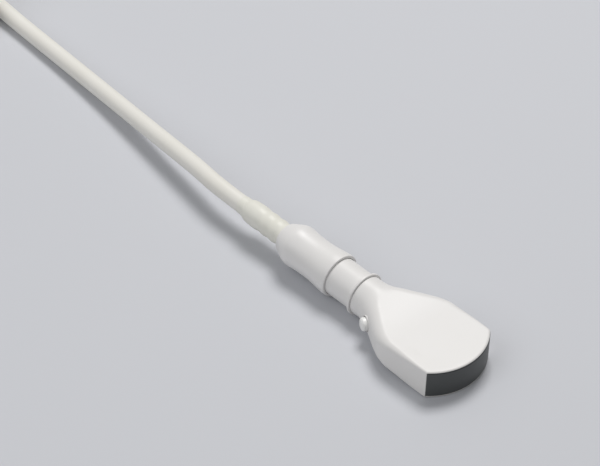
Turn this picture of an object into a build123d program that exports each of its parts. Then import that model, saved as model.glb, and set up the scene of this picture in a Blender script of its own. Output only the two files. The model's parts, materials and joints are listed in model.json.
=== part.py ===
from build123d import *
from math import atan2, cos, degrees, hypot, pi, radians, sin, sqrt, tan
import os

os.makedirs("parts", exist_ok=True)

# A curved-array ultrasound probe with its lead and plug, in millimetres.
# It lies as it rests: nose down a little, on the flange of its neck and the lip under its lens.
# Stations are measured along the probe's axis from the chord of the lens, forward positive.

# Driving sizes of the head
lens_radius = 37.6
lens_half_width = 26.8
lens_half_height = 9.5
lens_thickness = 3.0
side_lip = 0.5
face_lip = 0.95
lip_proud = 0.5
edge_round = 0.5
wall = 2.0
front_corner = 1.4
inner_corner = 0.8
shoulder_bulge = 1.0
shoulder_corner = 4.2
shoulder_station = -32.0
neck_radius = 13.0
neck_start = -72.0
neck_end = -76.9
overrun = 5.0

# Along the flare: share of its length, then of the change in width, thickness and corner
flare_shares = (
    (0.0, 0.0, 0.0, 0.0),
    (0.10, 0.05, 0.0, 0.11),
    (0.20, 0.13, 0.08, 0.25),
    (0.33, 0.28, 0.24, 0.41),
    (0.48, 0.49, 0.49, 0.59),
    (0.65, 0.73, 0.77, 0.77),
    (0.83, 0.92, 0.94, 0.91),
    (1.0, 1.0, 1.0, 1.0),
)
round_share = 0.9

# Acoustic stack behind the lens
outer_match_thickness = 0.5
inner_match_thickness = 0.6
element_thickness = 0.6
element_count = 48
kerf_width = 0.12
kerf_depth = 0.45
bond_line = 0.05
backing_radius = 25.0
aperture_half_height = 6.5
window_gap = 0.5
carrier_back_radius = 24.0
carrier_side_wall = 1.8
carrier_gap = 0.5
fit_gap = 0.15

# Circuit board, its connectors, parts, cans and screws
board_thickness = 1.6
board_front = -13.0
board_shoulder = -36.0
board_waist = -50.0
board_end = -66.0
board_half_width = 20.0
board_tail_half_width = 6.5
board_corner = 1.5
screw_places = ((-16.5, 17.0), (-34.0, 16.0))
post_radius = 2.4
pilot_radius = 0.8
screw_head_radius = 1.7
screw_head_height = 1.1
screw_shank_radius = 0.75
screw_shank_length = 5.0
flex_plug_length = 4.0
flex_plug_half_width = 13.0
flex_plug_height = 1.6
flex_thickness = 0.25
flex_half_width = 11.5
flex_front = -1.0
flex_back_run = 6.0
coil_radius = 1.5
coil_height = 2.6
coil_pitch = 4.4
coil_columns = 3
coil_rows = 5
chip_side = 5.0
chip_height = 1.0
chip_pitch = 6.6
chip_columns = 2
chip_rows = 3
can_end_gap = 1.8
can_side_gap = 1.4
can_head_gap = 1.5
can_sheet = 0.3
can_corner = 1.0
can_station = -28.0

# Micro-coax ribbons and the end of the lead inside the handle
ribbon_half_width = 4.6
ribbon_thickness = 1.0
ribbon_start = -57.0
cable_diameter = 11.6
lead_front = -81.0
ferrule_thickness = 0.8
ferrule_length = 7.0

# Sleeve between head and collar
sleeve_radius = 12.55
flange_radius = 14.45
flange_thickness = 1.5
flange_flare = 1.9
seal_thickness = 0.5
seal_recess = 0.25
spigot_length = 8.0
spigot_gap = 0.1
sleeve_bore_radius = 8.5
sleeve_step = -104.0
sleeve_cup_radius = 10.5
sleeve_end = -126.0
collet_length = 10.0
collet_slot = 1.2
collet_slot_count = 4
spanner_slot = 2.5
spanner_slot_depth = 3.0

# Rear collar
collar_front = -99.4
lip_radius = 14.5
waist_station = -121.0
waist_radius = 13.15
crown_station = -135.6
crown_radius = 13.85
back_station = -140.2
back_radius = 13.05
collar_rear = -149.6
collar_rear_radius = 9.3
collar_rear_round = 0.8
collar_bore_gap = 0.05
collar_seal_width = 0.6
collar_seal_depth = 0.8
collar_seal_recess = 0.25

# Strain relief
relief_radius = 7.65
relief_flange_radius = 9.6
relief_flange_thickness = 3.0
relief_rear = -186.5
relief_rear_radius = 6.35
relief_taper = 7.5
relief_lobes = 3
relief_valley = 0.35

# Push-button on the side of the flare
button_station = -59.3
button_turn = 26.0
button_radius = 4.25
button_proud = 3.2
button_dome = 0.8
button_gap = 0.05
button_travel = 0.8
button_foot = 2.4
button_foot_thickness = 0.8
button_foot_step = 0.4
bush_wall = 0.85
bush_rim_radius = 5.5
bush_rim_proud = 0.2
bush_rim_edge = 0.15
bush_seat_depth = 1.2
bush_groove_width = 0.3
bush_groove_depth = 0.5
end_gap = 0.1
plunger_radius = 1.5
plunger_reach = 0.7
switch_side = 5.6
switch_height = 2.2
switch_board_thickness = 0.8

# Lead outside the handle: the stretch that lies free, then the hank, then the tail to the plug
relief_straight = 22.0
lead_end_x = -405.0
lead_side_y = 32.2
arc_share = 0.45
hank_run = 102.0
hank_fold = 36.0
hank_layers = 3
hank_overhang = 14.0
tail_length = 112.0
tie_width = 16.0
tie_thickness = 1.2
tie_gap = 0.1
corridor_gap = 0.3

# Plug
plug_length = 72.0
plug_width = 62.0
plug_height = 34.0
plug_wall = 2.5
plug_corner = 5.0
plug_edge = 1.2
gland_offset = 19.5
gland_radius = 8.0
gland_nose_radius = 6.6
gland_length = 26.0
gland_rib_count = 4
gland_rib_depth = 0.7
gland_flange_radius = 8.9
gland_flange_thickness = 2.0
insert_thickness = 6.0
insert_recess = 9.0
contact_width = 0.9
contact_thickness = 0.5
contact_length = 4.0
contact_pitch_y = 3.4
contact_pitch_z = 3.2
contact_columns = 6
contact_rows = 8
lock_shaft_radius = 3.5
lock_gap = 0.05
lock_clearance = 0.3
lock_knob_radius = 10.5
lock_knob_thickness = 5.0
lock_grip_height = 7.0
lock_grip_width = 7.0
lock_cam_length = 3.0
lock_cam_half_span = 6.0
lock_cam_half_width = 2.0
lock_collar_radius = 5.5
lock_collar_thickness = 2.0
contact_gap = 0.5
plug_post_radius = 3.2
plug_post_inset = 4.2
plug_post_stand_off = 6.0
plug_screw_head_radius = 2.3
plug_screw_head_height = 1.8
plug_screw_recess = 0.4
plug_screw_radius = 1.1
plug_screw_reach = 6.0
plug_board_thickness = 1.6
plug_board_margin = 3.0

# Worked out from the sizes above
can_length = (coil_columns - 1) * coil_pitch + 2 * (coil_radius + can_end_gap + can_sheet)
can_width = (coil_rows - 1) * coil_pitch + 2 * (coil_radius + can_side_gap + can_sheet)
can_height = coil_height + can_head_gap + can_sheet
cable_radius = cable_diameter / 2
head_half_thickness = lens_half_height + face_lip
front_half_width = lens_half_width + side_lip
shoulder_half_width = front_half_width + shoulder_bulge
carrier_half_width = front_half_width - wall - carrier_gap
aperture_half_width = carrier_half_width - carrier_side_wall
arc_centre = -sqrt(lens_radius**2 - lens_half_width**2)
lip_arc_radius = lens_radius + lip_proud
lip_reach = arc_centre + lip_arc_radius
seat_radius = lens_radius - lens_thickness
flange_front = neck_end - seal_thickness
flange_back = flange_front - flange_thickness

# The resting pose: flange edge and lower lip touch the same plane
rest_tilt = atan2(flange_radius - head_half_thickness, lip_reach - flange_front)
axis_dir = Vector(cos(rest_tilt), 0, -sin(rest_tilt))
up_dir = Vector(sin(rest_tilt), 0, cos(rest_tilt))
side_dir = Vector(0, 1, 0)
lip_centre = lip_reach - edge_round, head_half_thickness - edge_round
front_x = lip_centre[0] * cos(rest_tilt) + lip_centre[1] * sin(rest_tilt) + edge_round
rear_x = relief_rear * cos(rest_tilt) - relief_rear_radius * sin(rest_tilt)
chord_height = lip_centre[0] * sin(rest_tilt) + lip_centre[1] * cos(rest_tilt) + edge_round
chord = Vector(-(front_x + rear_x) / 2, 0, chord_height)


def on_axis(station, side=0.0, height=0.0):
    """A point of the probe from its station, sideways place and height above the axis."""
    return chord + axis_dir * station + side_dir * side + up_dir * height


def across(station):
    """The plane across the probe's axis: sideways, then up."""
    return Plane(origin=on_axis(station), x_dir=side_dir, z_dir=axis_dir)


def plan(height=0.0):
    """The plane seen from above: along the axis, then sideways."""
    return Plane(origin=on_axis(0, 0, height), x_dir=axis_dir, z_dir=up_dir)


def profile(side=0.0):
    """The plane seen from the button's side: along the axis, then up."""
    return Plane(origin=on_axis(0, side), x_dir=axis_dir, z_dir=-side_dir)


def keep(name, part):
    """Label a finished piece and write it to its own file."""
    part.label = name
    export_step(part, f"parts/{name}.step")


def mix(start, end, share):
    return start + (end - start) * share


def flare_sections():
    """Station, half width, half thickness and corner radius of each section of the flare."""
    neck_corner = neck_radius * round_share
    return [
        (
            mix(neck_start, shoulder_station, along),
            mix(neck_radius, shoulder_half_width, wide),
            mix(neck_radius, head_half_thickness, thick),
            mix(neck_corner, shoulder_corner, corner),
        )
        for along, wide, thick, corner in flare_shares
    ]


def front_section():
    """The head's section at the lens, held as far as the overrun past the lip."""
    return lip_reach + overrun, front_half_width, head_half_thickness, front_corner


def hollow_section(station, half_width, half_thickness, corner):
    """The section of the hollow that keeps the wall, with one tight corner radius throughout."""
    ease = (1 - sqrt(0.5)) * max(corner - wall - inner_corner, 0)
    return station, half_width - wall - ease, half_thickness - wall - ease, inner_corner


def front_band(outer_radius, inner_radius, half_width):
    """A band between two arcs about the lens's centre, in plan, cut off straight at its sides."""
    with BuildSketch(Plane.XY, mode=Mode.PRIVATE) as band:
        with Locations((arc_centre, 0)):
            Circle(outer_radius)
            Circle(inner_radius, mode=Mode.SUBTRACT)
        with Locations((arc_centre, 0)):
            Rectangle(
                outer_radius + overrun,
                2 * half_width,
                align=(Align.MIN, Align.CENTER),
                mode=Mode.INTERSECT,
            )
    return band.sketch


def band_solid(outer_radius, inner_radius, half_width, half_height):
    """A band about the lens's centre, as thick as twice its half height."""
    with BuildPart() as piece:
        with BuildSketch(plan(-half_height)):
            add(front_band(outer_radius, inner_radius, half_width))
        extrude(amount=2 * half_height)
    return piece.part


def ring(start, end, outer_radius, inner_radius):
    """A plain ring about the axis between two stations."""
    with BuildPart() as piece:
        with BuildSketch(across(start)):
            Circle(outer_radius)
            Circle(inner_radius, mode=Mode.SUBTRACT)
        extrude(amount=end - start)
    return piece.part


# Housing: one smooth moulding of even wall, parted along its middle
button_normal = Vector(0, -1, 0).rotate(Axis((0, 0, 0), tuple(up_dir)), -button_turn)


def flare_half_width(station):
    """The head's half width at a station of the flare, from the table of its sections."""
    rows = flare_sections()
    for low, high in zip(rows, rows[1:]):
        if low[0] <= station <= high[0]:
            return mix(low[1], high[1], (station - low[0]) / (high[0] - low[0]))
    return front_half_width


button_seat = on_axis(button_station, -flare_half_width(button_station))


def button_plane(height=0.0):
    """The plane across the button's own axis, at a height above the housing's side."""
    return Plane(origin=button_seat + button_normal * height, x_dir=up_dir, z_dir=button_normal)


bush_radius = button_radius + button_gap + bush_wall
foot_radius = button_radius + button_foot_step
foot_bore_radius = foot_radius + button_gap
foot_top = button_foot_thickness - button_foot
switch_top = -button_foot - button_travel - end_gap - end_gap
switch_bottom = switch_top - switch_height
bush_bottom = switch_bottom - switch_board_thickness

with BuildPart() as outer_form:
    for station, half_width, half_thickness, corner in flare_sections():
        with BuildSketch(across(station)):
            RectangleRounded(2 * half_width, 2 * half_thickness, corner)
    loft()
    for station, half_width, half_thickness, corner in (flare_sections()[-1], front_section()):
        with BuildSketch(across(station)):
            RectangleRounded(2 * half_width, 2 * half_thickness, corner)
    loft(ruled=True)
    with BuildSketch(across(neck_end)):
        RectangleRounded(2 * neck_radius, 2 * neck_radius, neck_radius * round_share)
    extrude(amount=neck_start - neck_end)

with BuildPart() as inner_form:
    for row in flare_sections() + [front_section()]:
        station, half_width, half_thickness, corner = hollow_section(*row)
        with BuildSketch(across(station)):
            RectangleRounded(2 * half_width, 2 * half_thickness, corner)
    loft(ruled=True)
    with BuildSketch(across(neck_end - overrun)):
        Circle(neck_radius - wall)
    extrude(amount=neck_start - neck_end + 2 * overrun)

with BuildPart() as housing:
    add(outer_form.part)
    with BuildSketch(plan()):
        with Locations((arc_centre, 0)):
            Rectangle(
                lip_arc_radius + 2 * overrun,
                4 * shoulder_half_width,
                align=(Align.MIN, Align.CENTER),
            )
            Circle(lip_arc_radius, mode=Mode.SUBTRACT)
    extrude(amount=2 * head_half_thickness, both=True, mode=Mode.SUBTRACT)
    lip_edges = [
        edge
        for edge in housing.edges()
        if all(
            abs(hypot(spot.X - arc_centre, spot.Y) - lip_arc_radius) < fit_gap
            for spot in (plan().to_local_coords(edge @ share) for share in (0.0, 0.5, 1.0))
        )
    ]
    fillet(lip_edges, edge_round)
    add(inner_form.part, mode=Mode.SUBTRACT)
    add(
        band_solid(
            lip_arc_radius + overrun, seat_radius, lens_half_width, lens_half_height
        ),
        mode=Mode.SUBTRACT,
    )
    with BuildSketch(button_plane(-bush_seat_depth)):
        Circle(bush_rim_radius + fit_gap)
    extrude(amount=bush_seat_depth + overrun, mode=Mode.SUBTRACT)
    with BuildSketch(button_plane(-bush_seat_depth)):
        Circle(bush_radius + button_gap)
    extrude(amount=-2 * wall - overrun, mode=Mode.SUBTRACT)

with BuildPart() as upper_housing:
    add(housing.part)
    split(bisect_by=plan(), keep=Keep.TOP)
keep("upper_housing", upper_housing.part)

with BuildPart() as lower_housing:
    add(housing.part)
    split(bisect_by=plan(), keep=Keep.BOTTOM)
    for station, side in screw_places:
        with BuildSketch(plan(wall / 2 - head_half_thickness)):
            with Locations((station, side), (station, -side)):
                Circle(post_radius)
        extrude(amount=head_half_thickness - wall / 2 - board_thickness / 2)
        with BuildSketch(plan(-board_thickness / 2)):
            with Locations((station, side), (station, -side)):
                Circle(pilot_radius)
        extrude(amount=wall - head_half_thickness + board_thickness / 2, mode=Mode.SUBTRACT)
keep("lower_housing", lower_housing.part)

# Lens: silicone face between the two lips
with BuildPart() as acoustic_lens:
    add(band_solid(lens_radius, seat_radius, lens_half_width, lens_half_height))
keep("acoustic_lens", acoustic_lens.part)

# Acoustic stack
outer_match_front = seat_radius - bond_line
outer_match_back = outer_match_front - outer_match_thickness
inner_match_front = outer_match_back - bond_line
inner_match_back = inner_match_front - inner_match_thickness
element_front = inner_match_back - bond_line
element_back = element_front - element_thickness
backing_front = element_back - bond_line

with BuildPart() as outer_matching_layer:
    add(band_solid(outer_match_front, outer_match_back, aperture_half_width, aperture_half_height))
keep("outer_matching_layer", outer_matching_layer.part)

with BuildPart() as inner_matching_layer:
    add(band_solid(inner_match_front, inner_match_back, aperture_half_width, aperture_half_height))
keep("inner_matching_layer", inner_matching_layer.part)

with BuildPart() as piezo_array:
    add(band_solid(element_front, element_back, aperture_half_width, aperture_half_height))
    spread = atan2(aperture_half_width, sqrt(element_back**2 - aperture_half_width**2))
    pitch = 2 * degrees(spread) / element_count
    with BuildSketch(plan(-aperture_half_height)):
        with Locations((arc_centre, 0)):
            with PolarLocations(
                element_front - kerf_depth / 2,
                element_count - 1,
                start_angle=-degrees(spread) + pitch,
                angular_range=2 * degrees(spread) - pitch,
            ):
                Rectangle(kerf_depth, kerf_width)
    extrude(amount=2 * aperture_half_height, mode=Mode.SUBTRACT)
keep("piezo_array", piezo_array.part)

with BuildPart() as backing_block:
    add(band_solid(backing_front, backing_radius, aperture_half_width, aperture_half_height))
keep("backing_block", backing_block.part)

carrier_half_height = head_half_thickness - wall - carrier_gap
window_half_height = aperture_half_height + window_gap
with BuildPart() as array_carrier:
    add(band_solid(outer_match_front, carrier_back_radius, carrier_half_width, carrier_half_height))
    add(
        band_solid(
            seat_radius + overrun,
            carrier_back_radius - overrun,
            aperture_half_width,
            window_half_height,
        ),
        mode=Mode.SUBTRACT,
    )
keep("array_carrier", array_carrier.part)

# Circuit board and what it carries
half_board = board_thickness / 2
with BuildPart() as interconnect_board:
    with BuildSketch(plan(-half_board)) as board_outline:
        with BuildLine():
            Polyline(
                (board_front, 0),
                (board_front, board_half_width),
                (board_shoulder, board_half_width),
                (board_waist, board_tail_half_width),
                (board_end, board_tail_half_width),
                (board_end, 0),
            )
            mirror(about=Plane.XZ)
        make_face()
        fillet(board_outline.vertices(), board_corner)
        for station, side in screw_places:
            with Locations((station, side), (station, -side)):
                Circle(screw_shank_radius + button_gap, mode=Mode.SUBTRACT)
    extrude(amount=board_thickness)
keep("interconnect_board", interconnect_board.part)

with BuildPart() as board_screws:
    for station, side in screw_places:
        with BuildSketch(plan(half_board)):
            with Locations((station, side), (station, -side)):
                Circle(screw_head_radius)
        extrude(amount=screw_head_height)
        with BuildSketch(plan(half_board)):
            with Locations((station, side), (station, -side)):
                Circle(screw_shank_radius)
        extrude(amount=-screw_shank_length)
keep("board_screws", board_screws.part)

flex_plug_middle = board_front - flex_plug_length / 2
for name, face in (("upper_flex_plug", 1), ("lower_flex_plug", -1)):
    with BuildPart() as flex_plug:
        with BuildSketch(plan(face * half_board)):
            with Locations((flex_plug_middle, 0)):
                RectangleRounded(flex_plug_length, 2 * flex_plug_half_width, can_sheet)
        extrude(amount=face * flex_plug_height)
    keep(name, flex_plug.part)

# Flexible circuits run from the array's edges back to the board
flex_top = aperture_half_height
flex_plug_top = half_board + flex_plug_height
for name, face in (("upper_flex_circuit", 1), ("lower_flex_circuit", -1)):
    with BuildPart() as flex_circuit:
        with BuildSketch(profile(-flex_half_width)):
            with BuildLine():
                Polyline(
                    (flex_front, face * flex_top),
                    (flex_front - flex_back_run, face * flex_top),
                    (board_front, face * flex_plug_top),
                    (board_front - flex_plug_length, face * flex_plug_top),
                    (board_front - flex_plug_length, face * (flex_plug_top + flex_thickness)),
                    (board_front, face * (flex_plug_top + flex_thickness)),
                    (flex_front - flex_back_run, face * (flex_top + flex_thickness)),
                    (flex_front, face * (flex_top + flex_thickness)),
                    close=True,
                )
            make_face()
        extrude(amount=-2 * flex_half_width)
    keep(name, flex_circuit.part)

with BuildPart() as tuning_coils:
    with BuildSketch(plan(half_board)):
        with Locations((can_station, 0)):
            with GridLocations(coil_pitch, coil_pitch, coil_columns, coil_rows):
                Circle(coil_radius)
    extrude(amount=coil_height)
keep("tuning_coils", tuning_coils.part)

with BuildPart() as switch_chips:
    with BuildSketch(plan(-half_board)):
        with Locations((can_station, 0)):
            with GridLocations(chip_pitch, chip_pitch, chip_columns, chip_rows):
                Rectangle(chip_side, chip_side)
    extrude(amount=-chip_height)
keep("switch_chips", switch_chips.part)

for name, face in (("upper_shield_can", 1), ("lower_shield_can", -1)):
    with BuildPart() as shield_can:
        with BuildSketch(plan(face * half_board)):
            with Locations((can_station, 0)):
                RectangleRounded(can_length, can_width, can_corner)
        extrude(amount=face * can_height)
        with BuildSketch(plan(face * half_board)):
            with Locations((can_station, 0)):
                RectangleRounded(
                    can_length - 2 * can_sheet,
                    can_width - 2 * can_sheet,
                    can_corner - can_sheet,
                )
        extrude(amount=face * (can_height - can_sheet), mode=Mode.SUBTRACT)
    keep(name, shield_can.part)

# Micro-coax ribbons from the board into the lead's jacket
for name, face in (("upper_coax_ribbon", 1), ("lower_coax_ribbon", -1)):
    with BuildPart() as coax_ribbon:
        with BuildSketch(profile(-ribbon_half_width)):
            with BuildLine():
                Polyline(
                    (ribbon_start, face * half_board),
                    (board_end, face * half_board),
                    (lead_front + ribbon_thickness, 0),
                    (lead_front, 0),
                    (lead_front, face * ribbon_thickness),
                    (lead_front + ribbon_thickness, face * ribbon_thickness),
                    (board_end, face * (half_board + ribbon_thickness)),
                    (ribbon_start, face * (half_board + ribbon_thickness)),
                    close=True,
                )
            make_face()
        extrude(amount=-2 * ribbon_half_width)
    keep(name, coax_ribbon.part)

# Sleeve, its flange and the seal in front of it
with BuildPart() as neck_seal:
    add(ring(flange_front, neck_end, neck_radius - seal_recess, neck_radius - wall))
keep("neck_seal", neck_seal.part)

spigot_radius = neck_radius - wall - spigot_gap
with BuildPart() as neck_sleeve:
    with BuildSketch(profile()):
        with BuildLine():
            Polyline(
                (flange_front, sleeve_bore_radius),
                (flange_front + spigot_length, sleeve_bore_radius),
                (flange_front + spigot_length, spigot_radius),
                (flange_front, spigot_radius),
                (flange_front, flange_radius - edge_round),
            )
            RadiusArc(
                (flange_front, flange_radius - edge_round),
                (flange_front - edge_round, flange_radius),
                -edge_round,
            )
            Line((flange_front - edge_round, flange_radius), (flange_back, flange_radius))
            RadiusArc(
                (flange_back, flange_radius),
                (flange_back - flange_flare, sleeve_radius),
                flange_flare,
            )
            Polyline(
                (flange_back - flange_flare, sleeve_radius),
                (sleeve_end, sleeve_radius),
                (sleeve_end, sleeve_cup_radius),
                (sleeve_step, sleeve_cup_radius),
                (sleeve_step, sleeve_bore_radius),
                (flange_front, sleeve_bore_radius),
            )
        make_face()
    revolve(axis=Axis(tuple(chord), tuple(axis_dir)))
keep("neck_sleeve", neck_sleeve.part)

# End of the lead inside the handle, and what grips it
with BuildPart() as lead_end:
    with BuildSketch(across(relief_rear)):
        Circle(cable_radius)
    extrude(amount=lead_front - relief_rear)
keep("lead_end", lead_end.part)

with BuildPart() as shield_ferrule:
    add(ring(lead_front - ferrule_length, lead_front, cable_radius + ferrule_thickness, cable_radius))
keep("shield_ferrule", shield_ferrule.part)

with BuildPart() as cable_collet:
    collet_rear = sleeve_step - collet_length
    with Locations(across(collet_rear + collet_length / 2)):
        Cone(cable_radius + 2 * ferrule_thickness, sleeve_cup_radius - spigot_gap, collet_length)
    with BuildSketch(across(collet_rear)):
        Circle(cable_radius)
    extrude(amount=collet_length, mode=Mode.SUBTRACT)
    with BuildSketch(across(collet_rear)):
        with PolarLocations(sleeve_cup_radius, collet_slot_count):
            Rectangle(sleeve_cup_radius + overrun, collet_slot)
    extrude(amount=collet_length - 2 * ferrule_thickness, mode=Mode.SUBTRACT)
keep("cable_collet", cable_collet.part)

with BuildPart() as gland_nut:
    nut_front = sleeve_step - collet_length
    with BuildSketch(across(nut_front)):
        Circle(sleeve_cup_radius - spigot_gap)
        Circle(cable_radius + spigot_gap, mode=Mode.SUBTRACT)
    extrude(amount=sleeve_end - nut_front)
    with BuildSketch(across(sleeve_end)):
        Rectangle(4 * sleeve_cup_radius, spanner_slot)
    extrude(amount=spanner_slot_depth, mode=Mode.SUBTRACT)
keep("gland_nut", gland_nut.part)

# Collar: bell-shaped rear cover that traps the strain relief against the sleeve
collar_bore_radius = sleeve_radius + collar_bore_gap
seal_groove_radius = collar_bore_radius + collar_seal_width
relief_hole_radius = relief_radius + collar_bore_gap
relief_flange_back = sleeve_end - relief_flange_thickness
with BuildPart() as rear_collar:
    with BuildSketch(profile()):
        with BuildLine():
            Polyline(
                (collar_front - edge_round, lip_radius),
                (collar_front, lip_radius - edge_round),
                (collar_front, seal_groove_radius),
                (collar_front - collar_seal_depth, seal_groove_radius),
                (collar_front - collar_seal_depth, collar_bore_radius),
                (sleeve_end, collar_bore_radius),
                (sleeve_end, relief_flange_radius + collar_bore_gap),
                (relief_flange_back, relief_flange_radius + collar_bore_gap),
                (relief_flange_back, relief_hole_radius),
                (collar_rear, relief_hole_radius),
                (collar_rear, collar_rear_radius - collar_rear_round),
                (collar_rear + collar_rear_round, collar_rear_radius),
            )
            bell = ThreePointArc(
                (collar_front - edge_round, lip_radius),
                (waist_station, waist_radius),
                (crown_station, crown_radius),
            )
            TangentArc(bell @ 1, (back_station, back_radius), tangent=bell % 1)
            Line(
                (back_station, back_radius),
                (collar_rear + collar_rear_round, collar_rear_radius),
            )
        make_face()
    revolve(axis=Axis(tuple(chord), tuple(axis_dir)))
keep("rear_collar", rear_collar.part)

with BuildPart() as collar_seal:
    add(
        ring(
            collar_front - collar_seal_depth,
            collar_front - collar_seal_recess,
            seal_groove_radius,
            sleeve_radius,
        )
    )
keep("collar_seal", collar_seal.part)

# Strain relief: soft boot with three low lobes
with BuildPart() as strain_relief:
    lobe_start = relief_rear + relief_taper
    lobe_length = (collar_rear - lobe_start) / relief_lobes
    with BuildSketch(profile()):
        with BuildLine():
            Polyline(
                (collar_rear, relief_radius),
                (relief_flange_back, relief_radius),
                (relief_flange_back, relief_flange_radius),
                (sleeve_end, relief_flange_radius),
                (sleeve_end, cable_radius + collar_bore_gap),
                (relief_rear, cable_radius + collar_bore_gap),
                (relief_rear, relief_rear_radius),
            )
            outline = [(relief_rear, relief_rear_radius), (lobe_start, relief_radius - relief_valley)]
            for lobe in range(relief_lobes):
                crest = lobe_start + (lobe + 0.5) * lobe_length
                outline.append((crest, relief_radius))
                if lobe < relief_lobes - 1:
                    outline.append((crest + lobe_length / 2, relief_radius - relief_valley))
            outline.append((collar_rear, relief_radius))
            Spline(*outline)
        make_face()
    revolve(axis=Axis(tuple(chord), tuple(axis_dir)))
keep("strain_relief", strain_relief.part)

# Push-button: bush, cap, plunger, switch and its small board
with BuildPart() as button_bush:
    with BuildSketch(button_plane(bush_rim_proud)):
        Circle(bush_rim_radius)
    extrude(amount=-bush_seat_depth - bush_rim_proud)
    chamfer(
        button_bush.faces().sort_by(Axis(tuple(button_seat), tuple(button_normal)))[-1].edges(),
        bush_rim_edge,
    )
    with BuildSketch(button_plane(-bush_seat_depth)):
        Circle(bush_radius)
    extrude(amount=bush_bottom + bush_seat_depth)
    with BuildSketch(button_plane(bush_rim_proud)):
        Circle(button_radius + button_gap)
    extrude(amount=bush_bottom - bush_rim_proud, mode=Mode.SUBTRACT)
    with BuildSketch(button_plane(foot_top + end_gap)):
        Circle(foot_bore_radius)
    extrude(amount=bush_bottom - foot_top - end_gap, mode=Mode.SUBTRACT)
    with BuildSketch(button_plane(bush_rim_proud)):
        Circle(button_radius + button_gap + bush_groove_width)
    extrude(amount=-bush_groove_depth, mode=Mode.SUBTRACT)
keep("button_bush", button_bush.part)

with BuildPart() as button_cap:
    with BuildSketch(button_plane(-button_foot)):
        Circle(foot_radius)
    extrude(amount=button_foot_thickness)
    with BuildSketch(button_plane(foot_top)):
        Circle(button_radius)
    extrude(amount=button_proud - foot_top)
    fillet(
        button_cap.faces().sort_by(Axis(tuple(button_seat), tuple(button_normal)))[-1].edges(),
        button_dome,
    )
keep("button_cap", button_cap.part)

with BuildPart() as switch_plunger:
    with BuildSketch(button_plane(-button_foot)):
        Circle(plunger_radius)
    extrude(amount=switch_top + button_foot - plunger_reach)
keep("switch_plunger", switch_plunger.part)

with BuildPart() as tact_switch:
    with BuildSketch(button_plane(switch_bottom)):
        Rectangle(switch_side, switch_side)
    extrude(amount=switch_height)
    with BuildSketch(button_plane(switch_top)):
        Circle(plunger_radius + button_gap)
    extrude(amount=-plunger_reach - button_travel - end_gap, mode=Mode.SUBTRACT)
keep("tact_switch", tact_switch.part)

with BuildPart() as switch_board:
    with BuildSketch(button_plane(bush_bottom)):
        Circle(foot_bore_radius)
    extrude(amount=switch_board_thickness)
keep("switch_board", switch_board.part)


# Lead: straight runs joined by arcs as large as the runs allow
def arc_radii(points):
    """The radius at each corner: a share of the shorter run over the tangent of half the turn."""
    radii = []
    for before, corner, after in zip(points, points[1:], points[2:]):
        run_in = Vector(*corner) - Vector(*before)
        run_out = Vector(*after) - Vector(*corner)
        half_turn = radians(run_in.get_angle(run_out)) / 2
        radii.append(arc_share * min(run_in.length, run_out.length) / tan(half_turn))
    return radii


def lead_tube(name, points):
    """A plain tube along a route, with its volume set against section times length."""
    radii = arc_radii(points)
    with BuildPart() as tube:
        with BuildLine() as route:
            FilletPolyline(*points, radius=radii)
        start = Plane(origin=route.line @ 0, z_dir=route.line % 0)
        with BuildSketch(start):
            Circle(cable_radius)
        sweep()
    length = sum(edge.length for edge in route.edges())
    expected = pi * cable_radius**2 * length
    print(name, "length", round(length, 1), "radii", [round(radius) for radius in radii])
    print(name, "volume", round(tube.part.volume), "section x length", round(expected))
    keep(name, tube.part)


hank_base = tie_thickness
lead_rest = cable_radius
hank_lead = hank_base + cable_radius
cable_points = [
    tuple(on_axis(relief_rear)),
    tuple(on_axis(relief_rear - relief_straight)),
    (-145.0, 4.3, 18.7),
    (-172.0, 8.1, 16.3),
    (-202.0, 12.6, 13.2),
    (-234.0, 17.3, 10.2),
    (-266.0, 21.5, 7.9),
    (-298.0, 25.1, 6.4),
    (-330.0, 28.0, lead_rest),
    (-360.0, 30.4, lead_rest),
    (-383.0, lead_side_y, hank_lead),
    (lead_end_x, lead_side_y, hank_lead),
]
lead_tube("cable", cable_points)

# Hank: three turns stacked on a stadium, and the last run on top of them
hank_far_x = lead_end_x - hank_run
hank_middle_x = (lead_end_x + hank_far_x) / 2
hank_middle_y = lead_side_y - hank_fold
hank_height = hank_layers * cable_diameter
tail_x = hank_far_x - hank_overhang
corridor_half = cable_radius + corridor_gap
with BuildPart() as cable_hank:
    with BuildSketch(Plane.XY.offset(hank_base)):
        with Locations((hank_middle_x, hank_middle_y)):
            SlotOverall(hank_run + 2 * (hank_fold + cable_radius), 2 * (hank_fold + cable_radius))
            SlotOverall(
                hank_run + 2 * (hank_fold - cable_radius),
                2 * (hank_fold - cable_radius),
                mode=Mode.SUBTRACT,
            )
    extrude(amount=hank_height)
    with BuildSketch(Plane.XY.offset(hank_base)):
        with Locations((lead_end_x, lead_side_y)):
            Rectangle(
                hank_fold + 2 * overrun,
                2 * corridor_half + overrun,
                align=(Align.MIN, Align.CENTER),
            )
    extrude(amount=cable_diameter + corridor_gap, mode=Mode.SUBTRACT)
    with BuildSketch(Plane.XY.offset(hank_base + hank_height)):
        with Locations((tail_x, lead_side_y)):
            Rectangle(
                lead_end_x - tail_x,
                cable_diameter,
                align=(Align.MIN, Align.CENTER),
            )
    extrude(amount=cable_diameter)
keep("cable_hank", cable_hank.part)

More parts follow.
